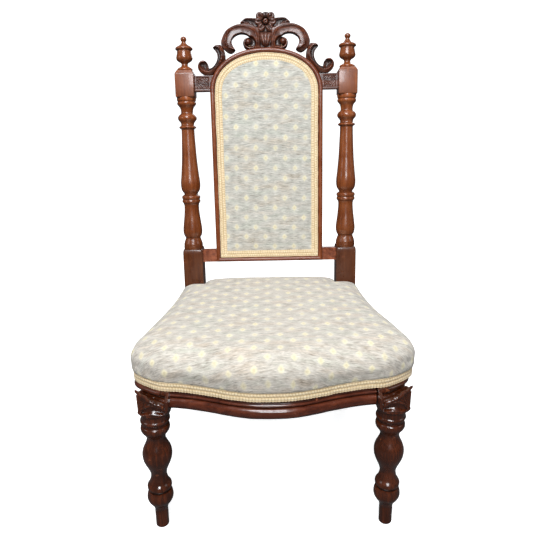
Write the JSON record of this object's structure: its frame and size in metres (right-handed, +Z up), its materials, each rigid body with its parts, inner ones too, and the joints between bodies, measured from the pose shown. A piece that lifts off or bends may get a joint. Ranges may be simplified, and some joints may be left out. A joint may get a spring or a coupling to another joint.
{
  "type": "balloon back chair",
  "caption": "Low upholstered side chair with turned front legs, a sprung seat and a tall arched back panel hung between turned posts under a carved crest.",
  "frame": {"origin": "on the floor, under the middle of the chair's bounding box", "axes": "+Z up; -Y the way the chair faces; +X to the viewer's right when facing the chair's front"},
  "size_m": [0.5202, 0.5402, 0.9832],
  "materials": {
    "dark_wood": "dark red-brown polished rosewood or stained beech, worn on the edges",
    "post_wood": "mid red-brown polish, satin to gloss",
    "frame_wood": "reddish-brown polish, satin",
    "carved_wood": "dark red-brown polish, glossy on the ridges",
    "beech": "plain unpolished",
    "iron": "dull cut iron",
    "spring_steel": "coppered wire, dulled",
    "jute": "plain woven jute",
    "hair": "curled hair stuffing",
    "cover_fabric": "woven grey-beige stripe with small cream diamond sprigs",
    "gimp": "cream-gold furnishing braid with two ribbed rows"
  },
  "bodies": {
    "root": {"front_leg_left": "dark_wood", "front_leg_right": "dark_wood", "back_post_left": "post_wood", "back_post_right": "post_wood", "finial_left": "post_wood", "finial_right": "post_wood", "front_seat_rail": "dark_wood", "side_seat_rail_left": "dark_wood", "side_seat_rail_right": "dark_wood", "rear_seat_rail": "dark_wood", "corner_brace_front_left": "beech", "corner_brace_front_right": "beech", "corner_brace_rear_left": "beech", "corner_brace_rear_right": "beech", "brace_screws": "iron", "panel_arch": "frame_wood", "panel_stile_left": "frame_wood", "panel_stile_right": "frame_wood", "panel_sill": "frame_wood", "upper_stub_rail_left": "frame_wood", "upper_stub_rail_right": "frame_wood", "lower_stub_rail_left": "frame_wood", "lower_stub_rail_right": "frame_wood", "crest_carving": "carved_wood", "crest_flower": "carved_wood", "crest_leaf_left": "carved_wood", "crest_leaf_right": "carved_wood", "crest_wing_left": "carved_wood", "crest_wing_right": "carved_wood", "crest_dowels": "beech", "seat_webbing": "jute", "webbing_tacks": "iron", "seat_springs": "spring_steel", "spring_lashing": "jute", "seat_hessian": "jute", "seat_stuffing": "hair", "seat_cover": "cover_fabric", "seat_braid": "gimp", "back_webbing": "jute", "back_hessian": "jute", "back_stuffing": "hair", "back_cover": "cover_fabric", "back_braid": "gimp", "outside_back_cover": "cover_fabric", "outside_back_braid": "gimp"}
  },
  "joints": []
}
